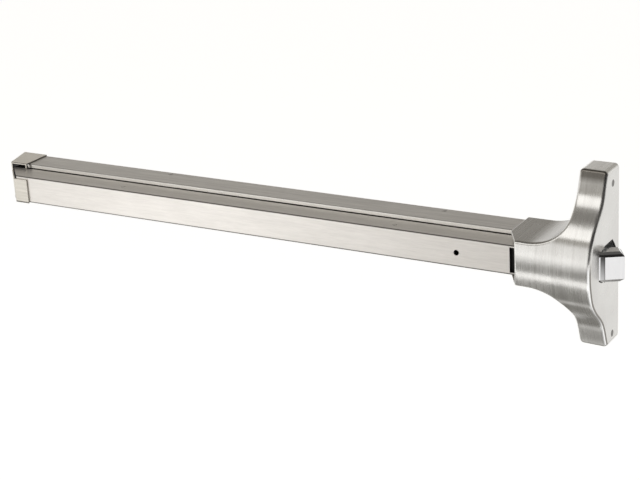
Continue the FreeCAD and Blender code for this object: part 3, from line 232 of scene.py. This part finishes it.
def moulded(name, light, dark, rough, cell_mm, relief, specular=0.5, sheen=0.0):
    """Moulded plastic or rubber: an even colour with the fine spark-eroded skin of its tool."""
    made, tree = blank(name)
    skin_grain = grain(tree, (cell_mm,) * 3, 3.0)
    cloud = grain(tree, (16.0,) * 3, 2.0, (2.0, 6.0, 3.0))
    colour = add(tree, MIX, {0: cloud, 6: tone(dark), 7: tone(light)}, COLOUR_OUT, data_type="RGBA")
    gloss = add(tree, RANGE, (skin_grain, 0.3, 0.7, rough - 0.08, rough + 0.08), 0)
    rounded = add(tree, "ShaderNodeBevel", {"Radius": 0.3 * MM}, "Normal", samples=BEVEL_RAYS)
    lifted = add(tree, "ShaderNodeBump", {"Height": skin_grain, "Strength": relief,
                                          "Distance": BUMP_DEEP, "Normal": rounded}, "Normal")
    body = add(tree, "ShaderNodeBsdfPrincipled",
               {"Base Color": colour, "Roughness": gloss, "Specular IOR Level": specular,
                "Sheen Weight": sheen, "Normal": lifted}, 0)
    add(tree, "ShaderNodeOutputMaterial", {"Surface": body})
    return made


# A belt's real scratches are about 0.05 mm wide, and one pixel of the photograph covers about
# 1.5 mm. They are drawn 0.6 to 1.5 mm wide, as coarse as they need to be to show.

# Stainless sheet, drawn to shape, then belt-brushed from top to bottom: soft vertical streaks, with painted
# shade on the collar's top and the upper wing's bends and a painted highlight on the lower right bend
cover_stainless = brushed_metal("satin_stainless_cover", "#E6E5E2", "#CFCDCA", (1.5, 60.0, 60.0),
                                ACROSS_COVER, 0.27, 0.70, edge=0.5, relief=0.06, paint_light=cover_light_and_shade)
# Roll-formed stainless, brushed along its length: a long even sheen, with a paler colour painted on the
# front lip as a highlight and painted shade on its bends, sharp edges and covered faces
rail_stainless = brushed_metal("satin_stainless_rail", "#E2DFDB", "#C4C1BD", (22.0, 0.8, 0.8),
                               ACROSS_BAR, 0.44, 0.85, covered=(-35.2, 21.4), lip="#FCFAF5")
# Polished and then finely brushed stainless, brighter than the rail, with painted shade on its top face,
# bends, sharp edges, covered faces and the bottom edge of its front
pad_stainless = brushed_metal("satin_stainless_pad", "#F7F3EE", "#E8E4DF", (12.0, 0.8, 0.8),
                              ACROSS_BAR, 0.38, 0.85, covered=(-38.4, 30.0), line=0.9, top=0.24,
                              rims=[("Z", -15.1, -15.9)])
# Folded stainless cap with a warm, slightly yellow brush, with painted shade on its bends, sharp edges,
# covered faces, the end of its hood and two edges of its front
cap_stainless = brushed_metal("satin_stainless_cap", "#EDE8DF", "#D2CEC4", (16.0, 0.8, 0.8),
                              ACROSS_BAR, 0.36, 0.60, edge=0.8, covered=(-40.7, 23.4), line=0.8,
                              rims=[("X", -809.6, -810.4), ("Z", -15.6, -16.4)])
# Ground and nickel-plated steel of the bolt: nearly mirror bright, with very fine grinding marks and
# painted shade on its top bevel and beside the cover's opening
bolt_steel = brushed_metal("ground_plated_bolt_steel", "#F4F4F5", "#E6E6E8", (0.6, 0.6, 12.0),
                           ACROSS_COVER, 0.22, 0.30, relief=0.05, paint_light=bolt_shade)

# The real skins of the small pieces have grains of 0.05 to 0.3 mm. They are drawn 0.5 to 2.2 mm
# wide, so that they show when a view comes close.

# Zinc-plated pressings: greyish blue, cloudy, half dull
zinc_plate = turned_metal("zinc_plated_pressing", "#D6D7D5", "#B2B4B3", 0.52, 2.2)
# Investment-cast and tumbled cranks: dark grey with a pebbled skin
crank_cast = turned_metal("tumbled_cast_steel", "#8C8B89", "#5F5E5C", 0.52, 0.9, relief=0.35)
# Turned and nickel-plated pins: bright and a little yellow
pin_nickel = turned_metal("nickel_plated_pin", "#CFCDC7", "#A9A7A1", 0.28, 0.8)
# Headed and turned stainless screws: darker than the sheet around them, with a tight gloss
screw_stainless = turned_metal("stainless_screw", "#8E8C88", "#5A5855", 0.30, 0.7)
# Drawn and oiled spring wire: dark, glossy
spring_wire = turned_metal("drawn_spring_wire", "#8A8987", "#565553", 0.30, 0.5)
# Grey self-lubricating nylon of the guides: even and waxy
nylon = moulded("moulded_nylon", "#77736C", "#5F5C57", 0.42, 0.8, 0.15)
# Glass-filled black nylon of the pad's end plug: dark, with a slightly rough skin
black_nylon = moulded("glass_filled_black_nylon", "#191919", "#0F0F0F", 0.55, 0.6, 0.3, 0.35)
# Black moulded rubber of the bumpers: dead matt
rubber = moulded("moulded_rubber", "#1E1D1C", "#131212", 0.78, 0.5, 0.3, 0.3, 0.1)

FINISH = {
    "cover_stainless": cover_stainless, "rail_stainless": rail_stainless, "pad_stainless": pad_stainless,
    "cap_stainless": cap_stainless, "bolt_steel": bolt_steel, "plated_steel": zinc_plate,
    "crank_steel": crank_cast, "pin_steel": pin_nickel, "screw_steel": screw_stainless,
    "spring_steel": spring_wire, "nylon": nylon, "black_plastic": black_nylon, "rubber": rubber,
}
for part in frame["record"]["subparts"]:
    solid = frame["nodes"][part["node"]]
    for place in solid.material_slots:
        place.material = FINISH[part["material_slot"]]

SPRING_START = (-319.15 * MM, -38.8 * MM, 9.5 * MM)
SPRING_LONG, SPRING_R, SPRING_WIRE, SPRING_TURNS = 56.3 * MM, 4.6 * MM, 0.75 * MM, 10
RINGS_A_TURN, WIRE_SIDES = 24, 14


def coil_spring():
    """A round wire along a helix: centre (x0 + L t / 2 pi n, y0 + R sin t, z0 - R cos t) for t from 0
    to 2 pi n, and skin centre + w (cos p N + sin p B), with N radial, T along the wire and B = T x N."""
    rings = RINGS_A_TURN * SPRING_TURNS + 1
    t = np.linspace(0.0, 2.0 * math.pi * SPRING_TURNS, rings)
    rise = SPRING_LONG / (2.0 * math.pi * SPRING_TURNS)
    radial = np.stack([0 * t, np.sin(t), -np.cos(t)], -1)
    centre = np.array(SPRING_START) + SPRING_R * radial + np.stack([rise * t, 0 * t, 0 * t], -1)
    along = np.stack([rise + 0 * t, SPRING_R * np.cos(t), SPRING_R * np.sin(t)], -1)
    along /= np.linalg.norm(along, axis=1, keepdims=True)
    binormal = np.cross(along, radial)
    p = np.linspace(0.0, 2.0 * math.pi, WIRE_SIDES, endpoint=False)[None, :, None]
    skin = centre[:, None] + SPRING_WIRE * (np.cos(p) * radial[:, None] + np.sin(p) * binormal[:, None])
    i, j = np.meshgrid(np.arange(rings - 1), np.arange(WIRE_SIDES), indexing="ij")
    a, b = (i * WIRE_SIDES + j).ravel(), (i * WIRE_SIDES + (j + 1) % WIRE_SIDES).ravel()
    walls = np.stack([a, b, b + WIRE_SIDES, a + WIRE_SIDES], -1).tolist()
    last = (rings - 1) * WIRE_SIDES
    ends = [list(range(WIRE_SIDES))[::-1], list(range(last, last + WIRE_SIDES))]
    mesh = bpy.data.meshes.new("return_spring_coil")
    mesh.from_pydata(skin.reshape(-1, 3).tolist(), [], walls + ends)
    mesh.polygons.foreach_set("use_smooth", [True] * len(walls) + [False] * len(ends))
    mesh.materials.append(FINISH["spring_steel"])
    return mesh


# The return spring: one coil of round wire between its anchor and the rod's shoulder, at one length; the
# real one shortens as the pad is pressed
spring = bpy.data.objects.new("return_spring_coil", coil_spring())
scene.collection.objects.link(spring)
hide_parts("return_spring")
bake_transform(spring)

# Camera: solved from the photograph's vanishing lines
AZIMUTH, ELEVATION, ROLL = (math.radians(v) for v in (31.056, 20.148, -3.278))
EYE = Vector((627.33, -1645.53, 666.23)) * MM
LENS, SENSOR, NEAR, FAR = 95.1, 36.0, 0.05, 60.0
back = Vector((math.sin(AZIMUTH) * math.cos(ELEVATION), -math.cos(AZIMUTH) * math.cos(ELEVATION),
               math.sin(ELEVATION)))
level = back.cross(Vector((0, 0, 1))).normalized() * -1
above = back.cross(level)
right = math.cos(ROLL) * level + math.sin(ROLL) * above
up = -math.sin(ROLL) * level + math.cos(ROLL) * above
lens = bpy.data.cameras.new("camera")
lens.lens, lens.sensor_width, lens.clip_start, lens.clip_end = LENS, SENSOR, NEAR, FAR
camera = bpy.data.objects.new("camera", lens)
turn = Matrix((right, up, back)).transposed().to_4x4()
camera.matrix_world = Matrix.Translation(EYE) @ turn
scene.collection.objects.link(camera)
scene.camera = camera


def lamp(name, place, target, size, radiance):
    """A rectangular softbox; its power is radiance times pi times its area."""
    light = bpy.data.lights.new(name, "AREA")
    light.shape, light.size, light.size_y = "RECTANGLE", size[0], size[1]
    light.energy = radiance * math.pi * size[0] * size[1]
    made = bpy.data.objects.new(name, light)
    aim = (Vector(target) - Vector(place)).to_track_quat("-Z", "Y")
    made.matrix_world = Matrix.Translation(place) @ aim.to_matrix().to_4x4()
    made.visible_camera = False
    scene.collection.objects.link(made)


lamp("softbox_front", (-0.95, -1.00, 1.17), (-0.95, -0.05, 0.0), (2.1, 0.74), 1.05)
lamp("bounce_low", (-0.58, -0.73, -0.570), (-0.58, -0.65, 0.4), (1.6, 0.28), 1.20)
lamp("softbox_left", (-1.10, -1.35, -0.10), (-0.30, -0.07, 0.0), (0.6, 0.30), 0.95)

# Studio walls: a white skirt at eye level, grey above it, a dark ceiling and a dark side to the right
SKIRT, WALL, DARK, WHITE = (tone(c) for c in ("#FFFEFC", "#A6A39D", "#3C3B3A", "#FFFFFF"))
ROOM_STRENGTH = 1.1
TO_THE_RIGHT = (0.85, -0.50, 0.0)
room = bpy.data.worlds.new("studio_room")
room.use_nodes = True
tree = room.node_tree
tree.nodes.clear()
ray = add(tree, "ShaderNodeTexCoord", out="Generated")
height = add(tree, SPLIT, (ray,), "Z")
rightward = add(tree, "ShaderNodeVectorMath", (ray, TO_THE_RIGHT), "Value", operation="DOT_PRODUCT")
shown = SKIRT
for value, start, end, tint in ((height, 0.20, 0.30, WALL), (height, 0.80, 0.97, DARK),
                                (rightward, 0.35, 0.60, DARK)):
    reached = add(tree, RANGE, (value, start, end), 0)
    shown = add(tree, MIX, {0: reached, 6: shown, 7: tint}, COLOUR_OUT, data_type="RGBA")
by_camera = add(tree, "ShaderNodeLightPath", out="Is Camera Ray")
shown = add(tree, MIX, {0: by_camera, 6: shown, 7: WHITE}, COLOUR_OUT, data_type="RGBA")
sky = add(tree, "ShaderNodeBackground", {"Color": shown, "Strength": ROOM_STRENGTH}, 0)
add(tree, "ShaderNodeOutputWorld", {"Surface": sky})
scene.world = room

# Floor: pale and matt; behind the object, where the photograph's background is, it is lit to white
FLOOR_Z, FLOOR_HALF, FLOOR_CELLS = -0.60, 20.0, 8
FLOOR_SEEN, FLOOR_MIRRORED, AWAY = tone("#E8E8E6"), tone("#C8C8C6"), (-0.515, 0.857, 0.0)
CAMERA_LIFT = 0.76  # light added to the floor as the camera sees it, up to white
row = FLOOR_CELLS + 1
u, v = np.meshgrid(*[np.linspace(-FLOOR_HALF, FLOOR_HALF, row)] * 2, indexing="ij")
corners = np.stack([u, v, np.full_like(u, FLOOR_Z)], -1).reshape(-1, 3)
i, j = np.meshgrid(np.arange(FLOOR_CELLS), np.arange(FLOOR_CELLS), indexing="ij")
first = (i * row + j).ravel()
cells = np.stack([first, first + row, first + row + 1, first + 1], -1)
mesh = bpy.data.meshes.new("floor")
mesh.from_pydata(corners.tolist(), [], cells.tolist())
floor = bpy.data.objects.new("floor", mesh)
scene.collection.objects.link(floor)
pale, tree = blank("pale_floor")
seen = add(tree, "ShaderNodeLightPath").outputs
mirrored = add(tree, MATH, (seen["Is Glossy Ray"], seen["Is Transmission Ray"]), 0, operation="MAXIMUM")
spot = add(tree, "ShaderNodeTexCoord", out="Object")
at = add(tree, SPLIT, (spot,)).outputs
away = add(tree, "ShaderNodeVectorMath", (spot, AWAY), "Value", operation="DOT_PRODUCT")
# What the metal mirrors of the floor: lit strips behind, to the left, to the right and below the bar
lit = strongest(tree, [[(away, 0.30, 0.50, 0.03, 0.75)],
                       [(at["X"], -0.98, -1.20, 0.03, 0.74)],
                       [(at["X"], 0.10, 0.30, 0.03, 0.80)],
                       [(at["Y"], -0.26, -0.17), (at["Y"], -0.04, -0.12, 0.0, 0.46)]])
to_camera = add(tree, MATH, (seen["Is Camera Ray"], CAMERA_LIFT), 0, operation="MULTIPLY")
to_metal = add(tree, MATH, (mirrored, lit), 0, operation="MULTIPLY")
lift = add(tree, MATH, (to_camera, to_metal), 0, operation="ADD")
shade = add(tree, MIX, {0: mirrored, 6: FLOOR_SEEN, 7: FLOOR_MIRRORED}, COLOUR_OUT, data_type="RGBA")
matt = add(tree, "ShaderNodeBsdfDiffuse", {"Color": shade}, 0)
glow = add(tree, "ShaderNodeEmission", {"Color": WHITE, "Strength": lift}, 0)
add(tree, "ShaderNodeOutputMaterial", {"Surface": add(tree, "ShaderNodeAddShader", (matt, glow), 0)})
mesh.materials.append(pale)

scene.view_settings.view_transform = "Standard"
